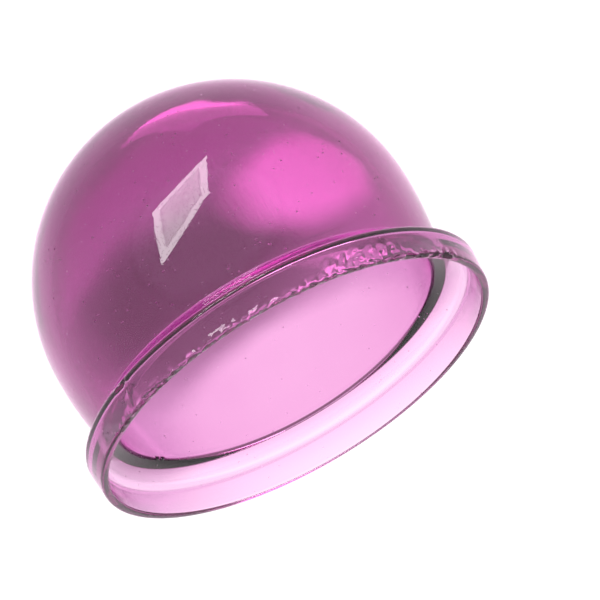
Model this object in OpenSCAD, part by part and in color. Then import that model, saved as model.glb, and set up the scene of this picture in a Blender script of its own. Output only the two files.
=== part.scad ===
// Squeeze-bulb cupping cup: one thin-walled dome moulded in clear silicone, with a groove above a
// flared skirt and an upright lip that seals on the skin. The moulding is drawn as its working zones.
// The lip edge lies in z = 0, the crown points up and the thumb presses the zone on the -Y side.

/* [Cup] */
// Height from the lip edge to the top of the crown
cup_h = 55; // [45:1:75]
// Outer diameter of the dome at its widest
dome_d = 65; // [54:1:78]
// Wall thickness of the dome's sides
dome_wall = 2.6; // [1.4:0.1:3.6]
// Wall thickness at the top of the crown, the thickest part of the moulding
crown_wall = 3.4; // [2:0.1:5]

/* [Groove and skirt] */
// Outer diameter at the bottom of the groove
groove_d = 61.6; // [50:0.2:64]
// Height of the sloped shoulder below the groove
shoulder_h = 3.2; // [2:0.1:5]
// How far the shoulder flares out from the groove to the lip
flare = 4.2; // [3:0.1:7]
// How far the bead inside the groove stands into the cup
bead = 0.4; // [0.2:0.1:1]
// How far below the groove the bead stands out most
bead_drop = 1; // [0.4:0.1:1.6]

/* [Lip] */
// Height of the upright lip band
lip_h = 5; // [3:0.1:8]
// Wall thickness of the lip where it leaves the shoulder
lip_wall = 1.9; // [1.4:0.1:2.6]
// Thickness of the lip at its resting edge
lip_edge = 1.3; // [0.8:0.1:2]
// How far the resting edge curls in from the widest line of the lip
lip_curl = 0.5; // [0:0.1:1.2]

/* [Zones] */
// Diameter of the crown disc that the walls hang from
crown_d = 34; // [20:1:44]
// Share of the turn that the thumb zone and the finger zone each take
grip_angle = 90; // [60:1:110]
// Clearance round the thumb zone, which moves against its neighbours
thumb_gap = 0.25; // [0.1:0.05:0.5]

/* [Hidden] */
$fn = 128;
arc_steps = 20;

dome_r = dome_d / 2;
groove_r = groove_d / 2;
lip_r = groove_r + flare;
groove_z = lip_h + shoulder_h;
dome_z = cup_h - dome_r;
hollow_r = dome_r - dome_wall;
hollow_z = cup_h - crown_wall - hollow_r;
crown_z = dome_z + sqrt(pow(dome_r, 2) - pow(crown_d / 2, 2));
fold_angle = 180 - grip_angle;
reach = 2 * lip_r;

// Radius of the dome's outer face below its widest line, upright there and drawn in at the groove
function flank_r(z) = dome_r - (dome_r - groove_r) * pow((dome_z - z) / (dome_z - groove_z), 2);

// Radius, at height z, of a ball of radius r whose centre is at height ball_z
function ball_r(z, r, ball_z) = sqrt(max(0, pow(r, 2) - pow(z - ball_z, 2)));

// Points up one face of the dome wall from the groove to z_top: the flank, set in by depth, then a ball
function wall_face(z_top, depth, ball_z) = concat(
    [
        for (i = [0 : arc_steps])
            let (z = groove_z + (ball_z - groove_z) * i / arc_steps)
            [flank_r(z) - depth, z]
    ],
    [
        for (i = [1 : arc_steps])
            let (z = ball_z + (z_top - ball_z) * i / arc_steps)
            [ball_r(z, dome_r - depth, ball_z), z]
    ]
);

function reversed(list) = [for (i = [len(list) - 1 : -1 : 0]) list[i]];

// Outline of the dome wall between the groove and z_top
module wall_outline(z_top) {
    polygon(concat(
        wall_face(z_top, 0, dome_z),
        reversed(wall_face(z_top, dome_wall, hollow_z))
    ));
}

// Outline of the sloped shoulder, with the bead that backs the groove
module shoulder_outline() {
    polygon([
        [groove_r, groove_z],
        [lip_r, lip_h],
        [lip_r - lip_wall, lip_h],
        [groove_r - dome_wall - bead, groove_z - bead_drop],
        [groove_r - dome_wall, groove_z]
    ]);
}

// Outline of the lip, which stands on its narrow edge
module lip_outline() {
    polygon([
        [lip_r, lip_h],
        [lip_r - lip_curl, 0],
        [lip_r - lip_curl - lip_edge, 0],
        [lip_r - lip_wall, lip_h]
    ]);
}

// Keeps the part of its children within an angle about the direction facing, clear of its sides by gap
module zone(facing, angle, gap = 0) {
    intersection() {
        children();
        rotate([0, 0, facing])
            translate([gap / sin(angle / 2), 0, -reach])
            linear_extrude(height = 3 * reach)
            polygon([
                [0, 0],
                [reach * cos(angle / 2), -reach * sin(angle / 2)],
                [2 * reach, 0],
                [reach * cos(angle / 2), reach * sin(angle / 2)]
            ]);
    }
}

module crown() {
    color("mediumorchid")
    intersection() {
        difference() {
            translate([0, 0, dome_z]) sphere(r = dome_r);
            translate([0, 0, hollow_z]) sphere(r = hollow_r);
        }
        translate([0, 0, crown_z]) cylinder(h = dome_r, r = dome_r);
    }
}

module dome_thumb() {
    color("darkorchid")
    zone(270, grip_angle, thumb_gap) rotate_extrude() wall_outline(crown_z - thumb_gap);
}

module dome_finger() {
    color("orchid")
    zone(90, grip_angle) rotate_extrude() wall_outline(crown_z);
}

module dome_left() {
    color("plum")
    zone(180, fold_angle) rotate_extrude() wall_outline(crown_z);
}

module dome_right() {
    color("violet")
    zone(0, fold_angle) rotate_extrude() wall_outline(crown_z);
}

module shoulder_thumb() {
    color("thistle")
    zone(270, grip_angle, thumb_gap) rotate_extrude() shoulder_outline();
}

module shoulder_finger() {
    color("thistle")
    zone(90, grip_angle) rotate_extrude() shoulder_outline();
}

module shoulder_left() {
    color("lavender")
    zone(180, fold_angle) rotate_extrude() shoulder_outline();
}

module shoulder_right() {
    color("lavender")
    zone(0, fold_angle) rotate_extrude() shoulder_outline();
}

module lip_thumb() {
    color("mediumvioletred")
    zone(270, grip_angle, thumb_gap) rotate_extrude() lip_outline();
}

module lip_finger() {
    color("mediumvioletred")
    zone(90, grip_angle) rotate_extrude() lip_outline();
}

module lip_left() {
    color("palevioletred")
    zone(180, fold_angle) rotate_extrude() lip_outline();
}

module lip_right() {
    color("palevioletred")
    zone(0, fold_angle) rotate_extrude() lip_outline();
}

crown();
dome_thumb();
dome_finger();
dome_left();
dome_right();
shoulder_thumb();
shoulder_finger();
shoulder_left();
shoulder_right();
lip_thumb();
lip_finger();
lip_left();
lip_right();
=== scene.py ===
import math
import bpy
from mathutils import Matrix, Vector


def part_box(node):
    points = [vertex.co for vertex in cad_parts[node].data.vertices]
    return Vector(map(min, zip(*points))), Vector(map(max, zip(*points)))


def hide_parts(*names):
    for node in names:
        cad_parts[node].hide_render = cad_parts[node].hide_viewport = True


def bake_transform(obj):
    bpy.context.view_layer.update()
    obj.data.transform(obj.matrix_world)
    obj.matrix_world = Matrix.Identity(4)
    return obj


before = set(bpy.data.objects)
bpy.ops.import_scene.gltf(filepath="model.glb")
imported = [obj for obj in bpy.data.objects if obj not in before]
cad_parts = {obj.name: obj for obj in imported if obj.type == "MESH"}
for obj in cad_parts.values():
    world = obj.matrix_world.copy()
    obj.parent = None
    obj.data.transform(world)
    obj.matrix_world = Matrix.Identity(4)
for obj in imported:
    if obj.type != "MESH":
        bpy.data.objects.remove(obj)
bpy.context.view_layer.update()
mm = 0.001
weld = 0.01 * mm       # points nearer than this are one

# the zones come in selected, and operators act on whatever is selected
bpy.ops.object.select_all(action="DESELECT")
print("frame loaded,", len(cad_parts), "zones")


def linear(hexColour):
    # sRGB hex to the linear colour that Blender's sockets take
    channels = [int(hexColour[i:i + 2], 16) / 255 for i in (1, 3, 5)]
    return [c / 12.92 if c <= 0.04045 else ((c + 0.055) / 1.055) ** 2.4 for c in channels] + [1.0]


def addNode(tree, kind, settings=None, links=None):
    # a node with its settings, and links as {input: (node, output)}
    node = tree.nodes.new(kind)
    for name, value in (settings or {}).items():
        if isinstance(name, int) or name in node.inputs:
            node.inputs[name].default_value = value
        else:
            setattr(node, name, value)
    for name, (source, output) in (links or {}).items():
        tree.links.new(source.outputs[output], node.inputs[name])
    return node


def newMaterial(name):
    # a material with an empty node tree
    material = bpy.data.materials.new(name)
    material.use_nodes = True
    material.node_tree.nodes.clear()
    return material, material.node_tree


# sizes of the moulding, all read from its zones
def pointsOf(node):
    return [v.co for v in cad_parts[node].data.vertices]


def radiusOf(point):
    return math.hypot(point.x, point.y)


def ringRadii(node, height):
    # inner and outer radius of a zone at one height
    radii = [radiusOf(p) for p in pointsOf(node) if abs(p.z - height) < 0.02 * mm]
    return min(radii), max(radii)


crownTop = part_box("crown")[1].z
crownUnder = min(p.z for p in pointsOf("crown") if radiusOf(p) < 1 * mm)
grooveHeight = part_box("shoulder_finger")[1].z
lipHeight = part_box("lip_finger")[1].z
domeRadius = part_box("dome_finger")[1].y
domeHeight = crownTop - domeRadius
innerGroove, outerGroove = ringRadii("shoulder_finger", grooveHeight)
innerLip, outerLip = ringRadii("lip_finger", lipHeight)
innerEdge, outerEdge = ringRadii("lip_finger", 0)
beadPoint = min(pointsOf("shoulder_finger"), key=radiusOf)
beadRadius, beadHeight = radiusOf(beadPoint), beadPoint.z
domeWall = outerGroove - innerGroove
hollowRadius = domeRadius - domeWall
hollowHeight = crownUnder - hollowRadius

cameraView = {
    "azimuth": -24,       # degrees round the cup from the thumb side
    "elevation": -24,     # below the lip, so that the mouth shows
    "roll": 31,           # the cup is held tilted, crown to the upper left
    "lens": 150,
    "distance": 0.405,
    "aimRight": 13 * mm,  # how far right and up of the cup's middle the camera aims
    "aimUp": -7 * mm,
}


def cameraAxes(c):
    # the camera's right, up and back directions
    azimuth, elevation, roll = (math.radians(c[k]) for k in ("azimuth", "elevation", "roll"))
    back = Vector((
        math.sin(azimuth) * math.cos(elevation),
        -math.cos(azimuth) * math.cos(elevation),
        math.sin(elevation),
    ))
    level = Vector((math.cos(azimuth), math.sin(azimuth), 0))
    up = back.cross(level) * math.cos(roll) + level * math.sin(roll)
    return up.cross(back), up, back


def makeCamera(c):
    side, up, back = cameraAxes(c)
    aim = Vector((0, 0, crownTop / 2)) + side * c["aimRight"] + up * c["aimUp"]
    bpy.ops.object.camera_add(location=aim + back * c["distance"])
    camera = bpy.context.object
    camera.rotation_euler = Matrix((side, up, back)).transposed().to_euler()
    camera.data.lens = c["lens"]
    camera.data.clip_start = 0.01
    bpy.context.scene.camera = camera
    return camera


camera = makeCamera(cameraView)
bpy.ops.object.select_all(action="DESELECT")
print("camera placed")

cupMesh = {
    "turns": 512,             # steps round the axis
    "domeSteps": 28,          # points on each quarter arc of the dome
    "flankSteps": 12,         # points down the dome's lower wall
    "shoulderSteps": 4,
    "lipSteps": 10,
    "grooveRounding": 0.12 * mm,
    "shoulderRounding": 0.4 * mm,
    "edgeRounding": 0.4 * mm,
    "beadRounding": 1.0 * mm,
}


def selectPoints(obj, wanted):
    # selects the vertices whose place passes the test, and nothing else
    bpy.ops.object.mode_set(mode="EDIT")
    bpy.ops.mesh.select_mode(type="VERT")
    bpy.ops.mesh.select_all(action="DESELECT")
    bpy.ops.object.mode_set(mode="OBJECT")
    for v in obj.data.vertices:
        v.select = wanted(v.co)


def addArc(radius, height, steps):
    # a quarter circle from the axis down to a ball's widest line, in the XZ plane
    bpy.ops.mesh.primitive_circle_add(
        vertices=4 * steps, radius=radius, location=(0, 0, height), rotation=(math.pi / 2, 0, 0))
    bpy.ops.object.transform_apply(location=True, rotation=True, scale=True)
    bpy.ops.object.mode_set(mode="EDIT")
    for direction in ((0, 0, 1), (1, 0, 0)):
        bpy.ops.mesh.select_all(action="SELECT")
        bpy.ops.mesh.bisect(plane_co=(0, 0, height), plane_no=direction, clear_inner=True)
    bpy.ops.mesh.select_all(action="SELECT")
    bpy.ops.mesh.remove_doubles(threshold=weld)
    bpy.ops.object.mode_set(mode="OBJECT")
    return bpy.context.object


def extrudeAlong(obj, start, points):
    # draws the profile on from the vertex at start, point by point
    place = Vector((start[0], 0, start[1]))
    selectPoints(obj, lambda p: (p - place).length < weld)
    bpy.ops.object.mode_set(mode="EDIT")
    for radius, height in points:
        target = Vector((radius, 0, height))
        bpy.ops.mesh.extrude_region_move(TRANSFORM_OT_translate={"value": target - place})
        place = target
    bpy.ops.object.mode_set(mode="OBJECT")


def between(a, b, steps):
    # evenly spaced points from a to b, without a
    shares = [i / steps for i in range(1, steps + 1)]
    return [(a[0] + (b[0] - a[0]) * t, a[1] + (b[1] - a[1]) * t) for t in shares]


def flank(depth, top, steps):
    # the dome's lower wall, upright at its widest line and drawn in at the groove, set in by depth
    drop = domeHeight - grooveHeight
    heights = [top + (grooveHeight - top) * i / steps for i in range(1, steps + 1)]
    narrowing = domeRadius - outerGroove
    return [(domeRadius - narrowing * ((domeHeight - z) / drop) ** 2 - depth, z) for z in heights]


def roundCorner(obj, corners, rounding):
    # bevels the profile's vertices at these corners
    places = [Vector((r, 0, z)) for r, z in corners]
    selectPoints(obj, lambda p: min((p - q).length for q in places) < 0.005 * mm)
    bpy.ops.object.mode_set(mode="EDIT")
    bpy.ops.mesh.bevel(offset=rounding, segments=5, affect="VERTICES", clamp_overlap=True)
    bpy.ops.object.mode_set(mode="OBJECT")


def makeCup(c):
    inner = addArc(hollowRadius, hollowHeight, c["domeSteps"])
    cup = addArc(domeRadius, domeHeight, c["domeSteps"])
    cup.name = "siliconeCup"
    outerFace = (
        flank(0, domeHeight, c["flankSteps"])
        + between((outerGroove, grooveHeight), (outerLip, lipHeight), c["shoulderSteps"])
        + between((outerLip, lipHeight), (outerEdge, 0), c["lipSteps"])
    )
    innerFace = (
        [(innerEdge, 0)]
        + between((innerEdge, 0), (innerLip, lipHeight), c["lipSteps"])
        + between((innerLip, lipHeight), (beadRadius, beadHeight), c["shoulderSteps"])
        + [(innerGroove, grooveHeight)]
        + list(reversed(flank(domeWall, hollowHeight, c["flankSteps"])))[1:]
        + [(hollowRadius, hollowHeight)]
    )
    extrudeAlong(cup, (domeRadius, domeHeight), outerFace + innerFace)
    inner.select_set(True)
    cup.select_set(True)
    bpy.context.view_layer.objects.active = cup
    bpy.ops.object.join()
    bpy.ops.object.mode_set(mode="EDIT")
    bpy.ops.mesh.select_all(action="SELECT")
    bpy.ops.mesh.remove_doubles(threshold=weld)
    bpy.ops.object.mode_set(mode="OBJECT")
    roundCorner(cup, [(outerGroove, grooveHeight)], c["grooveRounding"])
    roundCorner(cup, [(outerLip, lipHeight)], c["shoulderRounding"])
    roundCorner(cup, [(outerEdge, 0), (innerEdge, 0)], c["edgeRounding"])
    roundCorner(cup, [(beadRadius, beadHeight)], c["beadRounding"])
    bpy.ops.object.mode_set(mode="EDIT")
    bpy.ops.mesh.select_all(action="SELECT")
    bpy.ops.mesh.spin(steps=c["turns"], angle=2 * math.pi, center=(0, 0, 0), axis=(0, 0, 1))
    bpy.ops.mesh.select_all(action="SELECT")
    bpy.ops.mesh.remove_doubles(threshold=weld)
    bpy.ops.mesh.normals_make_consistent(inside=False)
    bpy.ops.object.mode_set(mode="OBJECT")
    bpy.ops.object.shade_smooth()
    return cup


cup = makeCup(cupMesh)
print("cup modelled,", len(cup.data.polygons), "faces")

# marks that moulding and trimming leave: grain is the size of the bumps, height how far they stand
wallDrift = {"grain": 13 * mm, "height": 0.3 * mm, "depth": 1}
trimTeeth = {"grain": 0.5 * mm, "height": 0.9 * mm, "depth": 0, "start": -75, "end": 50}
flashRidge = {"grain": 0.6 * mm, "height": 1.5 * mm, "depth": 1, "start": -4, "end": 26,
              "low": 0.9 * mm, "high": 2.6 * mm}
foldMark = {"grain": 0.9 * mm, "height": 1.4 * mm, "depth": 1, "start": -66, "end": -58,
            "low": 1.2 * mm, "high": 5.2 * mm}
gateNibs = {"angles": (-139, -142), "width": 0.6 * mm, "length": 0.7 * mm,
            "steps": (0.6, 0.4), "taper": 0.75, "droop": 1.2}


def turnOf(point):
    # degrees round the cup from the thumb side, growing towards +X
    return math.degrees(math.atan2(point.x, -point.y))


def fade(value, low, high, soft):
    # 1 between low and high, falling to 0 over the last soft stretch at each end
    return max(0, min(1, (value - low) / soft, (high - value) / soft))


def roughen(obj, name, mark, weight):
    # pushes the surface in and out by clouds, as far as weight says at each point
    group = obj.vertex_groups.new(name=name)
    for v in obj.data.vertices:
        share = weight(v.co)
        if share > 0:
            group.add([v.index], share, "REPLACE")
    clouds = bpy.data.textures.new(name, "CLOUDS")
    clouds.noise_scale = mark["grain"]
    clouds.noise_depth = mark["depth"]
    bpy.ops.object.modifier_add(type="DISPLACE")
    modifier = obj.modifiers[-1]
    modifier.texture = clouds
    modifier.texture_coords = "LOCAL"
    modifier.vertex_group = name
    modifier.strength = mark["height"]
    modifier.mid_level = 0.5
    bpy.ops.object.modifier_apply(modifier=modifier.name)


def onInnerWall(point):
    # all of the hollow's face, fading out towards the bead
    above = point - Vector((0, 0, hollowHeight))
    depth = above.length if point.z > hollowHeight else radiusOf(point)
    return fade(point.z, grooveHeight, 2 * crownTop, 6 * mm) if depth < domeRadius - domeWall / 2 else 0


def onTrimEdge(point):
    low = radiusOf(point) > outerEdge - 0.7 * mm and point.z < 0.55 * mm
    return fade(turnOf(point), trimTeeth["start"], trimTeeth["end"], 12) if low else 0


def onLipFace(point, mark):
    outside = radiusOf(point) > (outerEdge + innerEdge) / 2
    across = fade(point.z, mark["low"], mark["high"], 0.5 * mm)
    return across * fade(turnOf(point), mark["start"], mark["end"], 3) if outside else 0


def addNib(obj, n, angle):
    # a torn stub of the runner, drawn out of the bead
    turn = math.radians(angle)
    near = [v.co for v in obj.data.vertices if abs(turnOf(v.co) - angle) < 1]
    root = min((p for p in near if lipHeight < p.z < grooveHeight), key=radiusOf).copy()
    selectPoints(obj, lambda p: (p - root).length < n["width"])
    bpy.ops.object.mode_set(mode="EDIT")
    bpy.ops.mesh.select_mode(type="FACE")
    inward = Vector((-math.sin(turn), math.cos(turn), -n["droop"])).normalized() * n["length"]
    reach = 0
    for step in n["steps"]:
        reach += step
        bpy.ops.mesh.extrude_region_move(TRANSFORM_OT_translate={"value": inward * step})
        bpy.ops.transform.resize(value=[n["taper"]] * 3, center_override=root + inward * reach)
    bpy.ops.object.mode_set(mode="OBJECT")


roughen(cup, "wallDrift", wallDrift, onInnerWall)
roughen(cup, "trimTeeth", trimTeeth, onTrimEdge)
roughen(cup, "flashRidge", flashRidge, lambda p: onLipFace(p, flashRidge))
roughen(cup, "foldMark", foldMark, lambda p: onLipFace(p, foldMark))
for angle in gateNibs["angles"]:
    addNib(cup, gateNibs, angle)
print("moulding marks made,", len(cup.data.polygons), "faces")

silicone = {
    # clear silicone bends light by 1.41, and a polished mould leaves it nearly mirror smooth
    "ior": 1.41,
    "tint": "#FFF7FD",
    "dye": "#D266C3",       # what the dye lets through
    "dyeDensity": 520,      # per metre
    # a pink sheen painted on the silicone: a painted glow along its outline
    "paintedSheen": 0.5,
    "paintedSheenSpread": 0.35,
    "paintedSheenTint": "#CC38B2",
    "polished": 0.02,       # roughness where the mould was polished, and where hands dull it
    "dulled": 0.07,
    "smudge": 9 * mm,
    "scratch": 0.5 * mm,
    "scratchDepth": 0.004 * mm,
    "wipeTurn": (0.4, 0.9, 0.3),      # which way the wiping scratches run, and how long they are
    "wipeStretch": (1, 1, 0.06),
    "speck": 2.2 * mm,      # spacing of the dust specks and pits
}


def makeSilicone(s):
    material, tree = newMaterial("platinumSiliconeMoulded")
    place = addNode(tree, "ShaderNodeTexCoord")
    # handling leaves slow dull patches on the polish
    smudges = addNode(
        tree, "ShaderNodeTexNoise", {"Scale": 1 / s["smudge"], "Detail": 3.0}, {"Vector": (place, "Object")})
    dull = addNode(tree, "ShaderNodeMapRange", {
        "From Min": 0.45, "From Max": 0.75, "To Min": s["polished"], "To Max": s["dulled"],
    }, {"Value": (smudges, "Fac")})
    # lint and tiny pits, a tenth of a millimetre across
    cells = addNode(tree, "ShaderNodeTexVoronoi", {"Scale": 1 / s["speck"]}, {"Vector": (place, "Object")})
    specks = addNode(tree, "ShaderNodeMapRange", {
        "From Min": 0.045, "From Max": 0.07, "To Min": 1.0, "To Max": 0.0,
    }, {"Value": (cells, "Distance")})
    roughness = addNode(
        tree, "ShaderNodeMath", {"operation": "MAXIMUM"}, {0: (dull, "Result"), 1: (specks, "Result")})
    # wiping scratches, long across the clouds
    stretch = addNode(tree, "ShaderNodeMapping", {
        "Rotation": s["wipeTurn"], "Scale": s["wipeStretch"],
    }, {"Vector": (place, "Object")})
    scratches = addNode(tree, "ShaderNodeTexNoise", {
        "Scale": 1 / s["scratch"], "Detail": 2.0,
    }, {"Vector": (stretch, "Vector")})
    relief = addNode(
        tree, "ShaderNodeMath", {"operation": "ADD"}, {0: (scratches, "Fac"), 1: (specks, "Result")})
    bump = addNode(tree, "ShaderNodeBump", {
        "Strength": 1.0, "Distance": s["scratchDepth"],
    }, {"Height": (relief, "Value")})
    surface = addNode(tree, "ShaderNodeBsdfPrincipled", {
        "Base Color": linear(s["tint"]),
        "IOR": s["ior"],
        "Transmission Weight": 1.0,
        # painted sheen: a pink glow painted along the outline
        "Sheen Weight": s["paintedSheen"],
        "Sheen Roughness": s["paintedSheenSpread"],
        "Sheen Tint": linear(s["paintedSheenTint"]),
    }, {"Roughness": (roughness, "Value"), "Normal": (bump, "Normal")})
    dye = addNode(
        tree, "ShaderNodeVolumeAbsorption", {"Color": linear(s["dye"]), "Density": s["dyeDensity"]})
    addNode(tree, "ShaderNodeOutputMaterial", {}, {"Surface": (surface, "BSDF"), "Volume": (dye, "Volume")})
    return material


cup.data.materials.append(makeSilicone(silicone))
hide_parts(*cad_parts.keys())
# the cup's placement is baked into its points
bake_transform(cup)
print("silicone applied")

studio = {
    "floorRadius": 3.0,
    "floorDrop": 0.05 * mm,
    "floor": "#EDEAE9",
    "horizon": 1.4,        # a bright band behind the cup, for the light that comes through it
    "zenith": 1.1,
    "backdrop": 1.15,
    "bandTop": 0.60,        # sine of the height where the band starts to fall, and where it has fallen
    "bandEnd": 0.82,
    "keyPlace": (0.25, 0.1, 0.9),
    "keySize": 0.5,
    "keyWatts": 4,
}


def makeFloor(s):
    bpy.ops.mesh.primitive_circle_add(
        vertices=96, radius=s["floorRadius"], fill_type="NGON", location=(0, 0, -s["floorDrop"]))
    floor = bpy.context.object
    floor.name = "floor"
    bpy.ops.object.transform_apply(location=True, rotation=True, scale=True)
    material, tree = newMaterial("matPaleCard")
    card = addNode(tree, "ShaderNodeBsdfPrincipled", {"Base Color": linear(s["floor"]), "Roughness": 0.7})
    clear = addNode(tree, "ShaderNodeBsdfTransparent")
    side = addNode(tree, "ShaderNodeNewGeometry")
    # the card is seen from above only, so the cup can be looked at from below the lip
    mix = addNode(tree, "ShaderNodeMixShader", {}, {"Fac": (side, "Backfacing")})
    tree.links.new(card.outputs["BSDF"], mix.inputs[1])
    tree.links.new(clear.outputs["BSDF"], mix.inputs[2])
    addNode(tree, "ShaderNodeOutputMaterial", {}, {"Surface": (mix, "Shader")})
    floor.data.materials.append(material)
    floor.visible_glossy = False
    floor.visible_shadow = False


def makeWorld(s):
    world = bpy.data.worlds.new("whiteStudio")
    bpy.context.scene.world = world
    world.use_nodes = True
    tree = world.node_tree
    tree.nodes.clear()
    direction = addNode(tree, "ShaderNodeTexCoord")
    height = addNode(tree, "ShaderNodeSeparateXYZ", {}, {"Vector": (direction, "Generated")})
    level = addNode(tree, "ShaderNodeMapRange", {
        "interpolation_type": "SMOOTHSTEP", "From Min": s["bandTop"], "From Max": s["bandEnd"],
        "To Min": s["horizon"], "To Max": s["zenith"],
    }, {"Value": (height, "Z")})
    # the backdrop itself stays white however high the camera looks
    ray = addNode(tree, "ShaderNodeLightPath")
    strength = addNode(tree, "ShaderNodeMix", {"B": s["backdrop"]}, {
        "Factor": (ray, "Is Camera Ray"), "A": (level, "Result"),
    })
    sky = addNode(tree, "ShaderNodeBackground", {"Color": (1, 1, 1, 1)}, {"Strength": (strength, "Result")})
    addNode(tree, "ShaderNodeOutputWorld", {}, {"Surface": (sky, "Background")})


# a window of light that gleams on the dome's left, seen by the cup alone
window = {
    # corners of the gleam on the dome, in dome radii right and up of its middle as the camera sees it
    "gleam": ((-0.347, 0.130), (-0.096, 0.405), (-0.350, 0.311), (-0.106, 0.576)),
    "distance": 0.55,
    "glow": 15,
    # brightness from the middle of the pane out to its frame: clear glass, a dark bar, a bright frame
    "panes": ((0.0, 0.62), (0.33, 0.72), (0.35, 0.45), (0.38, 1.0), (0.5, 1.0)),
    "facets": 8,            # the pane is bent, so that its gleam has straight sides
}


def makeWindow(w):
    side, up, back = cameraAxes(cameraView)
    bpy.ops.mesh.primitive_grid_add(size=1, x_subdivisions=w["facets"], y_subdivisions=w["facets"])
    pane = bpy.context.object
    pane.name = "window"
    # each point stands where the dome's face mirrors it to the camera
    low, high, lowLeft, highLeft = (Vector(c) for c in w["gleam"])
    for corner in pane.data.vertices:
        along, across = corner.co.x + 0.5, corner.co.y + 0.5
        right, above = low.lerp(high, along).lerp(lowLeft.lerp(highLeft, along), across)
        normal = side * right + up * above + back * math.sqrt(1 - right ** 2 - above ** 2)
        spot = Vector((0, 0, domeHeight)) + normal * domeRadius
        toCamera = (camera.location - spot).normalized()
        corner.co = spot + (normal * 2 * normal.dot(toCamera) - toCamera) * w["distance"]
    material, tree = newMaterial("frostedWindow")
    place = addNode(tree, "ShaderNodeTexCoord")
    across = addNode(tree, "ShaderNodeSeparateXYZ", {}, {"Vector": (place, "UV")})
    edges = []
    for axis in ("X", "Y"):
        centred = addNode(tree, "ShaderNodeMath", {"operation": "SUBTRACT", 1: 0.5}, {0: (across, axis)})
        edges.append(addNode(tree, "ShaderNodeMath", {"operation": "ABSOLUTE"}, {0: (centred, "Value")}))
    edge = addNode(
        tree, "ShaderNodeMath", {"operation": "MAXIMUM"}, {0: (edges[0], "Value"), 1: (edges[1], "Value")})
    shades = addNode(tree, "ShaderNodeValToRGB", {}, {"Fac": (edge, "Value")})
    stops = shades.color_ramp.elements
    for position, bright in w["panes"][1:-1]:
        stops.new(position)
    for stop, (position, bright) in zip(stops, w["panes"]):
        stop.position = position
        stop.color = (bright, bright, bright, 1)
    light = addNode(tree, "ShaderNodeEmission", {"Strength": w["glow"]}, {"Color": (shades, "Color")})
    addNode(tree, "ShaderNodeOutputMaterial", {}, {"Surface": (light, "Emission")})
    pane.data.materials.append(material)
    pane.visible_camera = False
    pane.visible_diffuse = False
    pane.visible_transmission = False
    pane.visible_shadow = False


# soft cards behind the cup, seen only through the silicone: one darkens the dome, one glows in it and
# one lights the mouth
flags = {
    "shade": {"along": -12 * mm, "height": 32 * mm, "width": 124 * mm, "tall": 66 * mm,
              "colour": "#6E3358", "strength": 1.0, "cover": 0.8, "soft": 0.8, "behind": 90 * mm},
    "glow": {"along": 30 * mm, "height": 42 * mm, "width": 56 * mm, "tall": 40 * mm,
             "colour": "#FFF4FA", "strength": 3.0, "cover": 1.0, "soft": 0.5, "behind": 84 * mm},
    "sheet": {"along": 2 * mm, "height": -2 * mm, "width": 76 * mm, "tall": 34 * mm,
              "colour": "#F8FFF6", "strength": 1.8, "cover": 1.0, "soft": 0.35, "behind": 78 * mm},
}


def makeFlag(name, f):
    back = cameraAxes(cameraView)[2]
    along = back.cross(Vector((0, 0, -1))).normalized()
    middle = along * f["along"] + Vector((0, 0, f["height"])) - back * f["behind"]
    bpy.ops.mesh.primitive_plane_add(size=1)
    card = bpy.context.object
    card.name = name
    for corner in card.data.vertices:
        corner.co = middle + along * corner.co.x * f["width"] + Vector((0, 0, corner.co.y * f["tall"]))
    material, tree = newMaterial(name + "Card")
    place = addNode(tree, "ShaderNodeTexCoord")
    centred = addNode(tree, "ShaderNodeMapping", {
        "Location": (-1, -1, 0), "Scale": (2, 2, 1),
    }, {"Vector": (place, "UV")})
    ball = addNode(
        tree, "ShaderNodeTexGradient", {"gradient_type": "SPHERICAL"}, {"Vector": (centred, "Vector")})
    cover = addNode(tree, "ShaderNodeMapRange", {
        "interpolation_type": "SMOOTHSTEP",
        "From Min": 0.0, "From Max": f["soft"], "To Min": 0.0, "To Max": f["cover"],
    }, {"Value": (ball, "Fac")})
    face = addNode(tree, "ShaderNodeEmission", {"Color": linear(f["colour"]), "Strength": f["strength"]})
    clear = addNode(tree, "ShaderNodeBsdfTransparent")
    mix = addNode(tree, "ShaderNodeMixShader", {}, {"Fac": (cover, "Result")})
    tree.links.new(clear.outputs["BSDF"], mix.inputs[1])
    tree.links.new(face.outputs["Emission"], mix.inputs[2])
    addNode(tree, "ShaderNodeOutputMaterial", {}, {"Surface": (mix, "Shader")})
    card.data.materials.append(material)
    card.visible_camera = False
    card.visible_diffuse = False
    card.visible_glossy = False
    card.visible_shadow = False


for name, settings in flags.items():
    makeFlag(name, settings)


makeWindow(window)
makeFloor(studio)
makeWorld(studio)


def makeKey(s):
    place = Vector(s["keyPlace"])
    bpy.ops.object.light_add(type="AREA", location=place, rotation=place.to_track_quat("Z", "Y").to_euler())
    key = bpy.context.object
    key.name = "keyLight"
    key.data.size = s["keySize"]
    key.data.energy = s["keyWatts"]
    key.visible_glossy = False


makeKey(studio)
bpy.context.scene.view_settings.view_transform = "Standard"
lightBounces = 32       # the walls pass light on many times
for bounces in ("max_bounces", "transmission_bounces", "glossy_bounces"):
    setattr(bpy.context.scene.cycles, bounces, lightBounces)
print("studio set")
